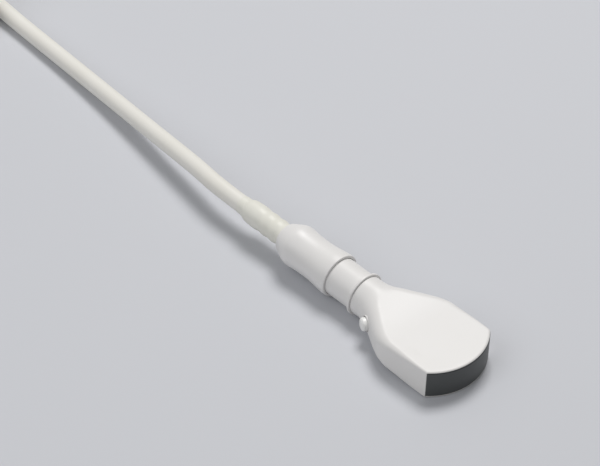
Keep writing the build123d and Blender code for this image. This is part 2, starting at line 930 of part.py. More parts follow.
with BuildPart() as hank_ties:
    for side_y, layers in (
        (lead_side_y, hank_layers + 1),
        (lead_side_y - 2 * hank_fold, hank_layers),
    ):
        bundle_height = layers * cable_diameter
        with BuildSketch(Plane.YZ.offset(hank_middle_x - tie_width / 2)):
            with Locations((side_y, hank_base + bundle_height / 2)):
                RectangleRounded(
                    cable_diameter + 2 * (tie_gap + tie_thickness),
                    bundle_height + 2 * tie_thickness,
                    tie_thickness + tie_gap,
                )
                Rectangle(
                    cable_diameter + 2 * tie_gap,
                    bundle_height,
                    mode=Mode.SUBTRACT,
                )
        extrude(amount=tie_width)
keep("hank_ties", hank_ties.part)

# Tail: down from the top of the hank to the plug
tail_start_z = hank_base + hank_height + cable_radius
gland_z = plug_height / 2
tail_drop = tail_start_z - gland_z
tail_shares = (
    (0.0, 0.0), (0.16, 0.0), (0.33, 0.14), (0.50, 0.47), (0.67, 0.85), (0.84, 1.0), (1.0, 1.0),
)
tail_points = [
    (tail_x - along * tail_length, lead_side_y, tail_start_z - drop * tail_drop)
    for along, drop in tail_shares
]
lead_tube("cable_tail", tail_points)

# Plug: its rear face towards the hank, its contacts facing away
gland_x = tail_points[-1][0]
plug_rear_x = gland_x - gland_length
plug_y = lead_side_y - gland_offset


def plug_plane(inward=0.0):
    """The plane across the plug, looking out of its front; inward from its rear face."""
    return Plane(origin=(plug_rear_x - inward, plug_y, plug_height / 2), x_dir=(0, -1, 0), z_dir=(-1, 0, 0))


gland_place = (-gland_offset, 0)
with BuildPart() as plug_strain_relief:
    with Locations(plug_plane(-gland_length / 2)):
        with Locations((*gland_place, 0)):
            Cone(gland_nose_radius, gland_radius, gland_length)
    with BuildSketch(plug_plane(0)):
        with Locations(gland_place):
            Circle(gland_radius - collar_bore_gap)
    extrude(amount=plug_wall)
    with BuildSketch(plug_plane(plug_wall)):
        with Locations(gland_place):
            Circle(gland_flange_radius)
    extrude(amount=gland_flange_thickness)
    rib_pitch = gland_length / (gland_rib_count + 1)
    for rib in range(gland_rib_count):
        place = rib_pitch * (rib + 1)
        radius = mix(gland_radius, gland_nose_radius, place / gland_length)
        with BuildSketch(plug_plane(-place)):
            with Locations(gland_place):
                Circle(radius + overrun)
                Circle(radius - gland_rib_depth, mode=Mode.SUBTRACT)
        extrude(amount=rib_pitch / 2, mode=Mode.SUBTRACT)
keep("plug_strain_relief", plug_strain_relief.part)

insert_front = plug_length - insert_recess
insert_back = insert_front - insert_thickness
plug_inner_half_width = plug_width / 2 - plug_wall
plug_inner_half_height = plug_height / 2 - plug_wall
post_side = plug_inner_half_width - plug_post_inset
post_stations = (
    plug_wall + gland_flange_thickness + plug_post_stand_off,
    insert_back - plug_post_stand_off,
)
post_places = [
    (plug_rear_x - station, plug_y + side * post_side) for station in post_stations for side in (-1, 1)
]
screw_seat_height = plug_screw_recess + plug_screw_head_height
with BuildPart() as plug_shell:
    with BuildSketch(plug_plane()):
        RectangleRounded(plug_width, plug_height, plug_corner)
    extrude(amount=plug_length)
    chamfer(plug_shell.faces().sort_by(Axis.X)[-1].edges(), plug_edge)
    with BuildSketch(plug_plane(plug_wall)):
        RectangleRounded(2 * plug_inner_half_width, 2 * plug_inner_half_height, plug_corner - plug_wall)
    extrude(amount=plug_length, mode=Mode.SUBTRACT)
    with BuildSketch(plug_plane()):
        with Locations(gland_place):
            Circle(gland_radius)
        Circle(lock_shaft_radius + lock_clearance)
    extrude(amount=plug_wall, mode=Mode.SUBTRACT)
    with BuildSketch(Plane.XY.offset(plug_wall / 2)):
        with Locations(*post_places):
            Circle(plug_post_radius)
    extrude(amount=plug_height - plug_wall)
    with BuildSketch():
        with Locations(*post_places):
            Circle(plug_screw_head_radius + collar_bore_gap)
    extrude(amount=screw_seat_height, mode=Mode.SUBTRACT)
    with BuildSketch():
        with Locations(*post_places):
            Circle(plug_screw_radius + collar_bore_gap)
    extrude(amount=plug_height / 2 + plug_screw_reach + end_gap, mode=Mode.SUBTRACT)

for name, side in (("plug_upper_shell", Keep.TOP), ("plug_lower_shell", Keep.BOTTOM)):
    with BuildPart() as half_shell:
        add(plug_shell.part)
        split(bisect_by=Plane.XY.offset(plug_height / 2), keep=side)
    keep(name, half_shell.part)

with BuildPart() as plug_screws:
    with BuildSketch(Plane.XY.offset(plug_screw_recess)):
        with Locations(*post_places):
            Circle(plug_screw_head_radius)
    extrude(amount=plug_screw_head_height)
    with BuildSketch(Plane.XY.offset(screw_seat_height)):
        with Locations(*post_places):
            Circle(plug_screw_radius)
    extrude(amount=plug_height / 2 + plug_screw_reach - screw_seat_height)
keep("plug_screws", plug_screws.part)

with BuildPart() as plug_insert:
    with BuildSketch(plug_plane(insert_back)):
        RectangleRounded(
            2 * (plug_inner_half_width - collar_bore_gap),
            2 * (plug_inner_half_height - collar_bore_gap),
            plug_corner - plug_wall,
        )
        Circle(lock_shaft_radius + lock_gap, mode=Mode.SUBTRACT)
    extrude(amount=insert_thickness)
keep("plug_insert", plug_insert.part)

with BuildPart() as plug_board:
    with BuildSketch(plug_plane(insert_back - plug_board_thickness)):
        RectangleRounded(
            2 * (plug_inner_half_width - plug_board_margin),
            2 * (plug_inner_half_height - plug_board_margin),
            board_corner,
        )
        Circle(lock_shaft_radius + lock_clearance, mode=Mode.SUBTRACT)
    extrude(amount=plug_board_thickness)
keep("plug_board", plug_board.part)

first_column = lock_cam_half_span + contact_gap + contact_width / 2
block_middle = first_column + (contact_columns - 1) * contact_pitch_y / 2
with BuildPart() as plug_contacts:
    with BuildSketch(plug_plane(insert_front)):
        with Locations((block_middle, 0), (-block_middle, 0)):
            with GridLocations(contact_pitch_y, contact_pitch_z, contact_columns, contact_rows):
                Rectangle(contact_width, contact_thickness)
    extrude(amount=contact_length)
keep("plug_contacts", plug_contacts.part)

# Lock: a knob at the rear turns a shaft and its cam between the contacts
knob_seat = -lock_clearance
with BuildPart() as lock_knob:
    with BuildSketch(plug_plane(knob_seat)):
        Circle(lock_knob_radius)
    extrude(amount=-lock_knob_thickness)
    with BuildSketch(plug_plane(knob_seat - lock_knob_thickness)):
        SlotOverall(2 * lock_knob_radius - 2 * plug_edge, lock_grip_width)
    extrude(amount=-lock_grip_height)
keep("lock_knob", lock_knob.part)

with BuildPart() as lock_shaft:
    with BuildSketch(plug_plane(knob_seat)):
        Circle(lock_shaft_radius)
    extrude(amount=insert_front + lock_clearance - knob_seat)
    with BuildSketch(plug_plane(insert_front + lock_clearance)):
        Rectangle(2 * lock_cam_half_width, 2 * lock_cam_half_span)
    extrude(amount=lock_cam_length)
    with BuildSketch(plug_plane(plug_wall + lock_clearance)):
        Circle(lock_collar_radius)
    extrude(amount=lock_collar_thickness)
keep("lock_shaft", lock_shaft.part)
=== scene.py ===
import json
from math import atan2, cos, pi, radians, sin, sqrt

import bmesh
import bpy
from mathutils import Matrix, Vector


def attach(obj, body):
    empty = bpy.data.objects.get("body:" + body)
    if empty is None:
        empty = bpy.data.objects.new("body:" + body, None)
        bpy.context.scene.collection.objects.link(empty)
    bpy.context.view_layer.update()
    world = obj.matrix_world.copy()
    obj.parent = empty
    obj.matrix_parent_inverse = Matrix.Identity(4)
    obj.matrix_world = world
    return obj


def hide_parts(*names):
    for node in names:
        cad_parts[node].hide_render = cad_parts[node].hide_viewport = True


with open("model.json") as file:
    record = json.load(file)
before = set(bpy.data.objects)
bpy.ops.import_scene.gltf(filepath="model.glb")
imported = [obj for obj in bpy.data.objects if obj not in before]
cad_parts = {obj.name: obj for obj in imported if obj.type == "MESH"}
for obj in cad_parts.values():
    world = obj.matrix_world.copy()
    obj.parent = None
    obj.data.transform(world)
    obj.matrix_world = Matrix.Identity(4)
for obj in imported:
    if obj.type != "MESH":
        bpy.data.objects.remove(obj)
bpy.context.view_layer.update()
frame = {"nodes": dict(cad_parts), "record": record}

scene = bpy.context.scene
mm = 0.001

# how pieces are drawn, in millimetres and degrees; flatTurn is what a flat spans once it is drawn round
drawing = {"mergeGap": 1e-5, "sharpAngle": 34, "flatTurn": 36, "turnSteps": 128, "smallTurnSteps": 96}

# The probe lies a little nose down. Its pieces are drawn along its own axis, in millimetres:
# x is the station (0 at the lens's chord, forward positive), y is sideways, z is up from the axis.
rest = {"tilt": 2.5695, "chordX": 87.216, "chordZ": 10.944}
probeMatrix = (
    Matrix.Translation((rest["chordX"] * mm, 0, rest["chordZ"] * mm))
    @ Matrix.Rotation(radians(rest["tilt"]), 4, "Y")
    @ Matrix.Scale(mm, 4)
)
worldMatrix = Matrix.Scale(mm, 4)


def mix(start, end, share):
    return start + (end - start) * share


def smoothShare(share):
    share = min(max(share, 0.0), 1.0)
    return share * share * (3 - 2 * share)


def meshFrom(name, shape):
    mesh = bpy.data.meshes.new(name)
    shape.to_mesh(mesh)
    shape.free()
    return mesh


def addObject(name, data):
    added = bpy.data.objects.new(name, data)
    scene.collection.objects.link(added)
    return added


# Camera

cameraSettings = {
    "azimuth": 46.35, "elevation": 40.89, "distance": 1.734, "lens": 175.95,
    "sideways": -0.09278, "upwards": 0.07676, "clipEnd": 20,
}


def placeCamera(settings):
    turn, rise = radians(settings["azimuth"]), radians(settings["elevation"])
    back = Vector((sin(turn) * cos(rise), -cos(turn) * cos(rise), sin(rise)))
    right = Vector((cos(turn), sin(turn), 0))
    up = back.cross(right)
    aim = probeMatrix @ Vector((0, 0, 0)) + right * settings["sideways"] + up * settings["upwards"]
    data = bpy.data.cameras.new("camera")
    data.lens = settings["lens"]
    data.clip_end = settings["clipEnd"]
    camera = addObject("camera", data)
    basis = Matrix((right, up, back)).transposed().to_4x4()
    camera.matrix_world = Matrix.Translation(aim + back * settings["distance"]) @ basis
    scene.camera = camera


placeCamera(cameraSettings)
print("camera placed")


# Shared effects as node groups

skinPattern = {"driftDetail": 4, "grainDetail": 3, "driftStart": 0.35, "driftGain": 3.2, "noiseMiddle": 0.5}
scuffPattern = {"stretch": (0.35, 1.0, 1.0), "detail": 6, "roughness": 0.7, "faint": 0.60, "full": 0.74}


def socketed(name, inputs, outputs):
    group = bpy.data.node_groups.new(name, "ShaderNodeTree")
    for label, kind, value in inputs:
        socket = group.interface.new_socket(label, in_out="INPUT", socket_type=kind)
        socket.default_value = value
    for label, kind in outputs:
        group.interface.new_socket(label, in_out="OUTPUT", socket_type=kind)
    return group, group.nodes.new("NodeGroupInput"), group.nodes.new("NodeGroupOutput")


def mathNode(tree, operation, *values):
    node = tree.nodes.new("ShaderNodeMath")
    node.operation = operation
    for socket, value in zip(node.inputs, values):
        if isinstance(value, (int, float)):
            socket.default_value = value
        else:
            tree.links.new(value, socket)
    return node.outputs[0]


def noiseNode(group, vector, scale, detail):
    noise = group.nodes.new("ShaderNodeTexNoise")
    noise.inputs["Detail"].default_value = detail
    group.links.new(vector, noise.inputs["Vector"])
    group.links.new(scale, noise.inputs["Scale"])
    return noise


def buildSkinGroup(settings):
    # a moulded or extruded skin: its colour drifts, its gloss varies and a fine grain breaks the highlight
    group, source, result = socketed(
        "mouldedSkin",
        [
            ("Color", "NodeSocketColor", (0.8, 0.8, 0.8, 1)),
            ("Drift Color", "NodeSocketColor", (0.7, 0.7, 0.7, 1)),
            ("Drift", "NodeSocketFloat", 0.1),
            ("Drift Scale", "NodeSocketFloat", 20.0),
            ("Grain Scale", "NodeSocketFloat", 900.0),
            ("Roughness", "NodeSocketFloat", 0.4),
            ("Roughness Spread", "NodeSocketFloat", 0.06),
        ],
        [("Color", "NodeSocketColor"), ("Roughness", "NodeSocketFloat"), ("Height", "NodeSocketFloat")],
    )
    place = group.nodes.new("ShaderNodeTexCoord").outputs["Object"]
    drift = noiseNode(group, place, source.outputs["Drift Scale"], settings["driftDetail"])
    grain = noiseNode(group, place, source.outputs["Grain Scale"], settings["grainDetail"])
    spread = mathNode(group, "SUBTRACT", drift.outputs["Fac"], settings["driftStart"])
    spread = mathNode(group, "MULTIPLY", spread, settings["driftGain"])
    clamp = group.nodes.new("ShaderNodeClamp")
    group.links.new(spread, clamp.inputs["Value"])
    blend = group.nodes.new("ShaderNodeMix")
    blend.data_type = "RGBA"
    amount = mathNode(group, "MULTIPLY", clamp.outputs[0], source.outputs["Drift"])
    group.links.new(amount, blend.inputs["Factor"])
    group.links.new(source.outputs["Color"], blend.inputs["A"])
    group.links.new(source.outputs["Drift Color"], blend.inputs["B"])
    group.links.new(blend.outputs["Result"], result.inputs["Color"])
    fine = mathNode(group, "SUBTRACT", grain.outputs["Fac"], settings["noiseMiddle"])
    broad = mathNode(group, "SUBTRACT", drift.outputs["Fac"], settings["noiseMiddle"])
    wander = mathNode(group, "ADD", fine, broad)
    wander = mathNode(group, "MULTIPLY", wander, source.outputs["Roughness Spread"])
    gloss = mathNode(group, "ADD", wander, source.outputs["Roughness"])
    group.links.new(gloss, result.inputs["Roughness"])
    group.links.new(grain.outputs["Fac"], result.inputs["Height"])
    return group


def buildScuffGroup(settings):
    # sparse short marks from handling, as a mask
    group, source, result = socketed(
        "handlingMarks",
        [("Scale", "NodeSocketFloat", 60.0), ("Amount", "NodeSocketFloat", 0.3)],
        [("Mask", "NodeSocketFloat")],
    )
    coordinates = group.nodes.new("ShaderNodeTexCoord")
    stretch = group.nodes.new("ShaderNodeMapping")
    stretch.inputs["Scale"].default_value = settings["stretch"]
    group.links.new(coordinates.outputs["Object"], stretch.inputs["Vector"])
    marks = noiseNode(group, stretch.outputs[0], source.outputs["Scale"], settings["detail"])
    marks.inputs["Roughness"].default_value = settings["roughness"]
    sharp = group.nodes.new("ShaderNodeMapRange")
    sharp.inputs["From Min"].default_value = settings["faint"]
    sharp.inputs["From Max"].default_value = settings["full"]
    group.links.new(marks.outputs["Fac"], sharp.inputs["Value"])
    mask = mathNode(group, "MULTIPLY", sharp.outputs[0], source.outputs["Amount"])
    group.links.new(mask, result.inputs["Mask"])
    return group


skinGroup = buildSkinGroup(skinPattern)
scuffGroup = buildScuffGroup(scuffPattern)

# what a finish has where it names nothing else
plainFinish = {
    "drift": 0.3, "driftScale": 25, "grainScale": 1500, "roughnessSpread": 0.12,
    "scuffs": 0, "scuffScale": 70, "scuffDull": 0.25,
    "metallic": 0, "ior": 1.5, "bump": 0.05, "bumpDepth": 0.00005,
}


def skinMaterial(name, finish):
    settings = {**plainFinish, "driftColor": finish["color"], **finish}
    material = bpy.data.materials.new(name)
    material.use_nodes = True
    tree = material.node_tree
    shader = tree.nodes["Principled BSDF"]
    skin = tree.nodes.new("ShaderNodeGroup")
    skin.node_tree = skinGroup
    skin.inputs["Color"].default_value = (*settings["color"], 1)
    skin.inputs["Drift Color"].default_value = (*settings["driftColor"], 1)
    skin.inputs["Drift"].default_value = settings["drift"]
    skin.inputs["Drift Scale"].default_value = settings["driftScale"]
    skin.inputs["Grain Scale"].default_value = settings["grainScale"]
    skin.inputs["Roughness"].default_value = settings["roughness"]
    skin.inputs["Roughness Spread"].default_value = settings["roughnessSpread"]
    color, roughness = skin.outputs["Color"], skin.outputs["Roughness"]
    if settings["scuffs"]:
        scuffs = tree.nodes.new("ShaderNodeGroup")
        scuffs.node_tree = scuffGroup
        scuffs.inputs["Scale"].default_value = settings["scuffScale"]
        scuffs.inputs["Amount"].default_value = settings["scuffs"]
        worn = tree.nodes.new("ShaderNodeMix")
        worn.data_type = "RGBA"
        tree.links.new(scuffs.outputs["Mask"], worn.inputs["Factor"])
        tree.links.new(color, worn.inputs["A"])
        worn.inputs["B"].default_value = (*settings["scuffColor"], 1)
        color = worn.outputs["Result"]
        dull = mathNode(tree, "MULTIPLY", scuffs.outputs["Mask"], settings["scuffDull"])
        roughness = mathNode(tree, "ADD", roughness, dull)
    tree.links.new(color, shader.inputs["Base Color"])
    tree.links.new(roughness, shader.inputs["Roughness"])
    shader.inputs["Metallic"].default_value = settings["metallic"]
    shader.inputs["IOR"].default_value = settings["ior"]
    bump = tree.nodes.new("ShaderNodeBump")
    bump.inputs["Strength"].default_value = settings["bump"]
    bump.inputs["Distance"].default_value = settings["bumpDepth"]
    tree.links.new(skin.outputs["Height"], bump.inputs["Height"])
    tree.links.new(bump.outputs["Normal"], shader.inputs["Normal"])
    return material


finishes = {
    "housingWhite": {"color": (0.80, 0.785, 0.775), "driftColor": (0.74, 0.72, 0.68), "drift": 0.22,
                     "driftScale": 14, "roughness": 0.40, "bump": 0.05, "scuffs": 0.16,
                     "scuffColor": (0.70, 0.69, 0.66)},
    "lensGrey": {"color": (0.062, 0.067, 0.067), "driftColor": (0.068, 0.071, 0.071), "drift": 0.5,
                 "driftScale": 60, "roughness": 0.42, "grainScale": 2500, "bump": 0.08},
    # the seal rings are real parts, but their dark grey is painted shade: it stands in for the shade in the
    # narrow gaps at the neck and the collar
    "sealPaintedShade": {"color": (0.38, 0.38, 0.375), "driftColor": (0.43, 0.43, 0.425), "roughness": 0.6},
    "reliefIvory": {"color": (0.80, 0.79, 0.725), "driftColor": (0.75, 0.73, 0.64), "drift": 0.35,
                    "driftScale": 40, "roughness": 0.45, "bump": 0.10},
    "cableIvory": {"color": (0.83, 0.812, 0.765), "driftColor": (0.78, 0.755, 0.68), "drift": 0.35,
                   "driftScale": 22, "roughness": 0.42, "bump": 0.10, "scuffs": 0.12,
                   "scuffColor": (0.66, 0.64, 0.57)},
    "plugBootGrey": {"color": (0.16, 0.16, 0.155), "driftColor": (0.20, 0.20, 0.195), "roughness": 0.6,
                     "grainScale": 2500, "bump": 0.15},
    "buttonWhite": {"color": (0.88, 0.875, 0.86), "driftColor": (0.85, 0.84, 0.82), "roughness": 0.3},
    "boardGreen": {"color": (0.02, 0.12, 0.05), "driftColor": (0.03, 0.16, 0.07), "roughness": 0.35},
    "resinGrey": {"color": (0.16, 0.17, 0.19), "driftColor": (0.20, 0.21, 0.23), "roughness": 0.5},
    "ceramicTan": {"color": (0.48, 0.42, 0.30), "driftColor": (0.42, 0.36, 0.26), "roughness": 0.55},
    "backingBlack": {"color": (0.022, 0.021, 0.02), "driftColor": (0.04, 0.04, 0.038), "roughness": 0.7},
    "plasticBlack": {"color": (0.015, 0.015, 0.017), "driftColor": (0.03, 0.03, 0.03), "roughness": 0.45},
    "filmAmber": {"color": (0.35, 0.13, 0.015), "driftColor": (0.42, 0.18, 0.03), "roughness": 0.3},
    "ferriteGrey": {"color": (0.03, 0.03, 0.035), "driftColor": (0.06, 0.06, 0.06), "roughness": 0.5},
    "ribbonBlue": {"color": (0.04, 0.10, 0.25), "driftColor": (0.06, 0.13, 0.30), "roughness": 0.4},
    "steel": {"color": (0.55, 0.55, 0.56), "driftColor": (0.45, 0.45, 0.45), "roughness": 0.3, "metallic": 1},
    "brass": {"color": (0.62, 0.45, 0.16), "driftColor": (0.50, 0.36, 0.13), "roughness": 0.3, "metallic": 1},
    "gold": {"color": (0.85, 0.60, 0.22), "driftColor": (0.75, 0.52, 0.2), "roughness": 0.2, "metallic": 1},
    "tieBlack": {"color": (0.02, 0.02, 0.022), "driftColor": (0.045, 0.045, 0.048), "roughness": 0.85,
                 "grainScale": 3500, "bump": 0.8, "bumpDepth": 0.0003},
    "plugGrey": {"color": (0.50, 0.49, 0.46), "driftColor": (0.44, 0.43, 0.40), "roughness": 0.5,
                 "grainScale": 2500, "bump": 0.25, "bumpDepth": 0.0001, "scuffs": 0.2,
                 "scuffColor": (0.40, 0.39, 0.37)},
    "insertGrey": {"color": (0.05, 0.053, 0.056), "driftColor": (0.07, 0.07, 0.07), "roughness": 0.5},
    "knobGrey": {"color": (0.10, 0.105, 0.11), "driftColor": (0.13, 0.13, 0.13), "roughness": 0.45},
}
materials = {name: skinMaterial(name, settings) for name, settings in finishes.items()}

slotFinishes = {
    "housing_white": "housingWhite", "lens_grey": "lensGrey", "seal_dark": "sealPaintedShade",
    "relief_ivory": "reliefIvory", "cable_ivory": "cableIvory", "button_white": "buttonWhite",
    "matching_resin": "resinGrey", "piezo_ceramic": "ceramicTan", "backing_compound": "backingBlack",
    "carrier_plastic": "plasticBlack", "board_green": "boardGreen", "steel_parts": "steel",
    "dark_plastic": "plasticBlack", "flex_amber": "filmAmber", "coil_ferrite": "ferriteGrey",
    "chip_black": "plasticBlack", "shield_tin": "steel", "coax_blue": "ribbonBlue",
    "brass_parts": "brass", "tie_fabric": "tieBlack", "plug_grey": "plugGrey",
    "insert_grey": "insertGrey", "contact_gold": "gold", "knob_grey": "knobGrey",
}
nodeSlots = {part["node"]: part["material_slot"] for part in frame["record"]["subparts"]}
for nodeName, node in frame["nodes"].items():
    node.data.materials.clear()
    node.data.materials.append(materials[slotFinishes[nodeSlots[nodeName]]])
print("materials made:", len(materials))


# From bmesh to a finished piece

def finishPiece(name, shape, matrix, finish, replaced, body="probe"):
    bmesh.ops.remove_doubles(shape, verts=shape.verts, dist=drawing["mergeGap"])
    bmesh.ops.recalc_face_normals(shape, faces=shape.faces)
    mesh = meshFrom(name, shape)
    mesh.transform(matrix)
    for polygon in mesh.polygons:
        polygon.use_smooth = True
    mesh.set_sharp_from_angle(angle=radians(drawing["sharpAngle"]))
    mesh.materials.append(materials[finish])
    piece = addObject(name, mesh)
    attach(piece, body)
    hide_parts(*replaced)
    return piece


def spinProfile(profile, steps=drawing["turnSteps"]):
    # profile: (station, radius) pairs, closed, turned about the x axis
    shape = bmesh.new()
    points = [shape.verts.new((station, 0, radius)) for station, radius in profile]
    edges = [shape.edges.new((one, two)) for one, two in zip(points, points[1:] + points[:1])]
    bmesh.ops.spin(
        shape, geom=points + edges, cent=(0, 0, 0), axis=(1, 0, 0), angle=2 * pi, steps=steps,
        use_merge=True,
    )
    return shape


def arcPoints(centre, radius, start, end, count):
    # points on an arc in the profile's plane, angles in degrees from the station axis
    return [
        (
            centre[0] + radius * cos(radians(mix(start, end, index / count))),
            centre[1] + radius * sin(radians(mix(start, end, index / count))),
        )
        for index in range(count + 1)
    ]


def quarterTurn(steps):
    return [pi / 2 * step / steps for step in range(steps + 1)]


def curveThrough(points, count):
    # a smooth line through a few (x, y) points, spaced by Catmull-Rom spans
    padded = [points[0]] + list(points) + [points[-1]]
    line = []
    for before, start, end, after in zip(padded, padded[1:], padded[2:], padded[3:]):
        for step in range(count):
            share = step / count
            line.append(tuple(
                0.5 * (
                    2 * b + (c - a) * share
                    + (2 * a - 5 * b + 4 * c - d) * share ** 2
                    + (3 * b - a - 3 * c + d) * share ** 3
                )
                for a, b, c, d in zip(before, start, end, after)
            ))
    line.append(tuple(points[-1]))
    return line


# Head: one smooth shell, from the round neck to the lips round the lens

head = {
    "neckEnd": -77.1, "neckStart": -72.0, "shoulder": -32.0, "neckRadius": 13.0,
    "shoulderHalfWidth": 28.3, "frontHalfWidth": 27.3, "halfThickness": 10.45,
    "shoulderCorner": 4.2, "frontCorner": 1.4, "cornerEase": 0.8, "wall": 2.0,
    "edgeRound": 0.75, "edgeReach": 1.7, "sideEdge": 0.35, "edgeSteps": 7,
    "arcCentre": -26.371, "lipArc": 38.1, "seatArc": 34.6,
    "lensHalfWidth": 26.8, "lensHalfHeight": 9.5, "slotCorner": 0.3,
    # slot beside the lens: reach past the lip's arc, opening past the lens
    "slot": ((0.0, 0.08), (-0.04, 0.03), (-0.12, 0.0), (-1.5, 0.0), (-3.5, 0.0)),
    "hollowShares": (1.0, 0.75, 0.5, 0.25, 0.08),
    # along the flare: share of its length, then of the change in width, thickness and corner
    "flare": (
        (0.0, 0.0, 0.0, 0.0), (0.10, 0.05, 0.0, 0.10), (0.20, 0.13, 0.08, 0.21),
        (0.33, 0.28, 0.24, 0.34), (0.48, 0.50, 0.49, 0.43), (0.65, 0.755, 0.77, 0.55),
        (0.83, 0.945, 0.94, 0.76), (1.0, 1.0, 1.0, 1.0),
    ),
    "roundShare": 0.36, "neckSteps": 4, "flareSteps": 8, "hollowStride": 4, "frontSteps": 20,
    "cornerSteps": 12, "flatSteps": 28, "sideSteps": 10,
}


def flareLine(settings):
    # (station, half width, half thickness, corner, roundness) along the flare
    line = []
    for along, wide, thick, corner in curveThrough(settings["flare"], settings["flareSteps"]):
        line.append((
            mix(settings["neckStart"], settings["shoulder"], along),
            mix(settings["neckRadius"], settings["shoulderHalfWidth"], wide),
            mix(settings["neckRadius"], settings["halfThickness"], thick),
            mix(settings["neckRadius"], settings["shoulderCorner"], corner),
            1 - smoothShare(along / settings["roundShare"]),
        ))
    return line


def sectionPoint(settings, index, halfWidth, halfThickness, corner, roundness):
    # the index runs round an oblong: a corner, then a straight, four times; roundness makes it an oval
    parts = (
        ("corner", 1, 1), ("flat", 0, 1), ("corner", -1, 1), ("side", -1, 0),
        ("corner", -1, -1), ("flat", 0, -1), ("corner", 1, -1), ("side", 1, 0),
    )
    for number, (kind, y, z) in enumerate(parts):
        steps = settings[kind + "Steps"]
        if index < steps:
            break
        index -= steps
    share = index / steps
    flatY, flatZ = halfWidth - corner, halfThickness - corner
    turn, halfTurn = 90 * ((number + 1) // 2), drawing["flatTurn"] / 2
    if kind == "corner":
        angle = radians(turn + 90 * share)
        point = Vector((y * flatY + corner * cos(angle), z * flatZ + corner * sin(angle)))
        ovalAngle = radians(turn + mix(halfTurn, 90 - halfTurn, share))
    else:
        if kind == "flat":
            point = Vector((z * mix(flatY, -flatY, share), z * halfThickness))
        else:
            point = Vector((y * halfWidth, y * mix(-flatZ, flatZ, share)))
        ovalAngle = radians(turn + mix(-halfTurn, halfTurn, share))
    oval = Vector((halfWidth * cos(ovalAngle), halfThickness * sin(ovalAngle)))
    return point.lerp(oval, roundness)


def sectionRing(settings, station, *section):
    def place(index):
        point = sectionPoint(settings, index, *section)
        return Vector((station, point.x, point.y))
    return place


def ringCount(settings):
    return 4 * settings["cornerSteps"] + 2 * settings["flatSteps"] + 2 * settings["sideSteps"]


def ringSkin(count, places, joined=False):
    # a skin drawn ring by ring: each place function puts point number index of one ring
    shape = bmesh.new()
    verts = bmesh.ops.create_circle(shape, segments=count, radius=1)["verts"]
    ring = sorted(verts, key=lambda vert: atan2(vert.co.y, vert.co.x) % (2 * pi))
    edges = list({edge for vert in ring for edge in vert.link_edges})
    first = edges
    for index, vert in enumerate(ring):
        vert.co = places[0](index)
    for place in places[1:]:
        order = {vert: index for index, vert in enumerate(ring)}
        made = bmesh.ops.extrude_edge_only(shape, edges=edges)["geom"]
        fresh = {item for item in made if isinstance(item, bmesh.types.BMVert)}
        following = [None] * count
        for vert in fresh:
            for edge in vert.link_edges:
                if edge.other_vert(vert) in order:
                    following[order[edge.other_vert(vert)]] = vert
        ring = following
        edges = [
            item for item in made
            if isinstance(item, bmesh.types.BMEdge) and item.verts[0] in fresh and item.verts[1] in fresh
        ]
        for index, vert in enumerate(ring):
            vert.co = place(index)
    if joined:
        bmesh.ops.bridge_loops(shape, edges=first + edges)
    else:
        bmesh.ops.holes_fill(shape, edges=first + edges)
    return shape


def makeHead(settings):
    neck, thick, edge = settings["neckRadius"], settings["halfThickness"], settings["edgeRound"]
    reach, wall = settings["edgeReach"], settings["wall"]

    def arcRing(arc, share, *section):
        # between the shoulder's plane and an arc about the lens's centre
        def place(index):
            point = sectionPoint(settings, index, *section, 0)
            front = settings["arcCentre"] + sqrt(arc ** 2 - point.x ** 2)
            return Vector((mix(settings["shoulder"], front, share), point.x, point.y))
        return place

    places = []
    for step in range(settings["neckSteps"]):
        station = mix(settings["neckEnd"], settings["neckStart"], step / settings["neckSteps"])
        places.append(sectionRing(settings, station, neck, neck, neck, 1))
    places += [sectionRing(settings, *row) for row in flareLine(settings)]
    for step in range(1, settings["frontSteps"] + 1):
        share = step / settings["frontSteps"]
        places.append(arcRing(
            settings["lipArc"] - reach, share,
            mix(settings["shoulderHalfWidth"], settings["frontHalfWidth"], share), thick,
            mix(
                settings["shoulderCorner"], settings["frontCorner"],
                smoothShare(share ** settings["cornerEase"]),
            ),
        ))
    # round the lips' outer edge, then their small inner edge, then down the slot beside the lens
    for angle in quarterTurn(settings["edgeSteps"])[1:]:
        drop = 1 - cos(angle)
        places.append(arcRing(
            settings["lipArc"] - reach * (1 - sin(angle)), 1,
            settings["frontHalfWidth"] - settings["sideEdge"] * drop, thick - edge * drop,
            settings["frontCorner"] - edge * drop,
        ))
    for arc, opening in settings["slot"]:
        places.append(arcRing(
            settings["lipArc"] + arc, 1, settings["lensHalfWidth"] + opening,
            settings["lensHalfHeight"] + opening, settings["slotCorner"],
        ))
    # the hollow, back to the neck
    hollow = (settings["frontHalfWidth"] - wall, thick - wall, settings["slotCorner"])
    for share in settings["hollowShares"]:
        places.append(arcRing(settings["seatArc"], share, *hollow))
    rows = flareLine(settings)[::settings["hollowStride"]]
    for station, halfWidth, halfThickness, corner, roundness in reversed(rows):
        places.append(sectionRing(
            settings, station, halfWidth - wall, halfThickness - wall,
            max(corner - wall, wall / 2), roundness,
        ))
    places.append(sectionRing(settings, settings["neckEnd"], neck - wall, neck - wall, neck - wall, 1))
    shape = ringSkin(ringCount(settings), places, joined=True)
    return finishPiece("headShell", shape, probeMatrix, "housingWhite", ["upper_housing", "lower_housing"])


headShell = makeHead(head)
print("head made")


# Lens: a silicone face bent round the array

lens = {
    "arc": 38.3, "halfWidth": 26.78, "halfHeight": 9.0, "thickness": 3.3, "columns": 96, "rows": 24,
    "edge": 0.4, "edgeDrop": 0.25,
}


